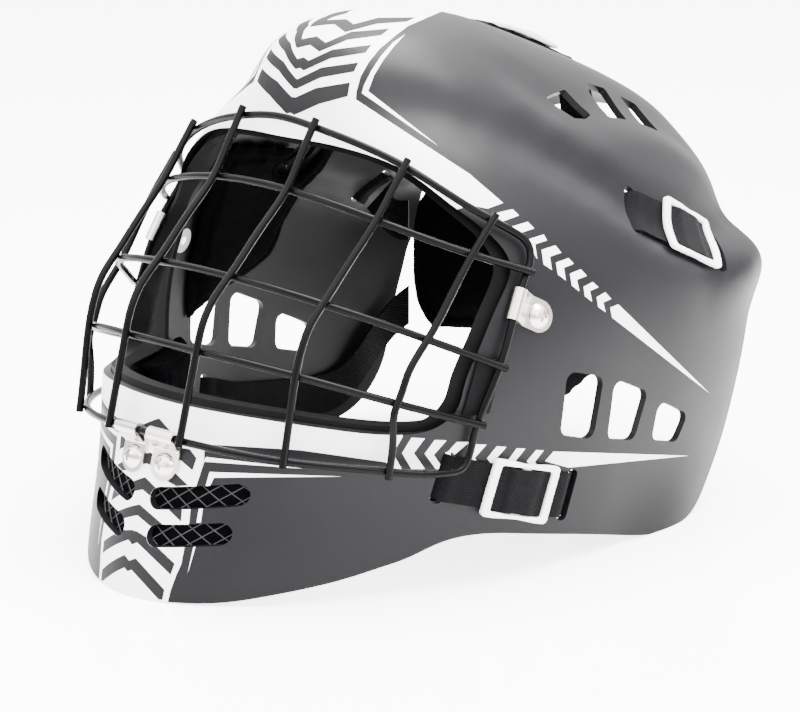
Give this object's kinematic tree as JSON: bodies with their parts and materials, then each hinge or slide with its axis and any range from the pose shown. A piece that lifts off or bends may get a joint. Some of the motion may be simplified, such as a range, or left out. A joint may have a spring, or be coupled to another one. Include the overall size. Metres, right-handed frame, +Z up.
{
  "type": "goalkeeper face mask",
  "caption": "Hard goalkeeper helmet mask with a wire face cage on clips, vented crown and jaw, inner pads, webbing with slide buckles and a sprung rear head pad.",
  "frame": {"origin": "centre of the standing mask's outline on the surface it rests on, below the middle of its box", "axes": "-Y is where the wearer looks, +X is the wearer's left, +Z is up"},
  "size_m": [0.241, 0.3287, 0.23],
  "materials": {
    "shell": "satin black moulded composite",
    "cage": "black powder coat",
    "clip": "nickel-plated sheet",
    "screw": "nickel-plated",
    "nut": "plain",
    "padding": "lining over foam",
    "screen": "black expanded mesh",
    "trim": "matte",
    "tag": "matte",
    "webbing": "ribbed webbing",
    "buckle": "white",
    "back_padding": "lining over foam",
    "back_plate": "matte"
  },
  "bodies": {
    "mask": {"brow_pad": "padding", "cage_bar_1_left": "cage", "cage_bar_1_right": "cage", "cage_bar_2_left": "cage", "cage_bar_2_right": "cage", "cage_bar_3_left": "cage", "cage_bar_3_right": "cage", "cage_cross_1": "cage", "cage_cross_2": "cage", "cage_cross_3": "cage", "cage_frame": "cage", "cheek_pad_left": "padding", "cheek_pad_right": "padding", "chin_clip_left": "clip", "chin_clip_right": "clip", "chin_mesh_left": "screen", "chin_mesh_right": "screen", "chin_nut_left": "nut", "chin_nut_right": "nut", "chin_pad": "padding", "chin_screw_left": "screw", "chin_screw_right": "screw", "crown_pad": "padding", "face_trim": "trim", "harness_lower_left": "webbing", "harness_lower_right": "webbing", "harness_top": "webbing", "harness_upper_left": "webbing", "harness_upper_right": "webbing", "shell": "shell", "side_clip_left": "clip", "side_clip_right": "clip", "side_nut_left": "nut", "side_nut_right": "nut", "side_pad_left": "padding", "side_pad_right": "padding", "side_screw_left": "screw", "side_screw_right": "screw", "strap_lower_left": "webbing", "strap_lower_right": "webbing", "strap_top": "webbing", "strap_upper_left": "webbing", "strap_upper_right": "webbing", "tag_left": "tag", "tag_right": "tag"},
    "top_buckle": {"buckle_top": "buckle", "loop_top": "webbing"},
    "upper_buckle_left": {"buckle_upper_left": "buckle", "loop_upper_left": "webbing"},
    "upper_buckle_right": {"buckle_upper_right": "buckle", "loop_upper_right": "webbing"},
    "lower_buckle_left": {"buckle_lower_left": "buckle", "loop_lower_left": "webbing"},
    "lower_buckle_right": {"buckle_lower_right": "buckle", "loop_lower_right": "webbing"},
    "back": {"back_pad": "back_padding", "back_plate": "back_plate"}
  },
  "joints": [
    {"name": "top_buckle_slip", "type": "hinge", "parent": "mask", "child": "top_buckle", "pos_m": [0, -0.52147, -1.3202], "axis": [-1, 0, 0], "range_deg": [-0.174, 0.174]},
    {"name": "upper_buckle_left_slip", "type": "hinge", "parent": "mask", "child": "upper_buckle_left", "pos_m": [0.31126, 0.09335, 0.21436], "axis": [0.3553, -0.4433, -0.8229], "range_deg": [-0.45, 1.29]},
    {"name": "upper_buckle_right_slip", "type": "hinge", "parent": "mask", "child": "upper_buckle_right", "pos_m": [-0.31126, 0.09335, 0.21436], "axis": [0.3553, 0.4433, 0.8229], "range_deg": [-0.45, 1.29]},
    {"name": "lower_buckle_left_slip", "type": "hinge", "parent": "mask", "child": "lower_buckle_left", "pos_m": [-0.12536, 0.03144, 0.04967], "axis": [0.1136, 0.2524, 0.9609], "range_deg": [-1.16, 1.16]},
    {"name": "lower_buckle_right_slip", "type": "hinge", "parent": "mask", "child": "lower_buckle_right", "pos_m": [0.12536, 0.03144, 0.04967], "axis": [0.1136, -0.2524, -0.9609], "range_deg": [-1.16, 1.16]},
    {"name": "back_travel", "type": "slide", "parent": "mask", "child": "back", "axis": [0, 1, 0], "range_m": [0, 0.008], "stiffness_N_per_m": 400}
  ]
}
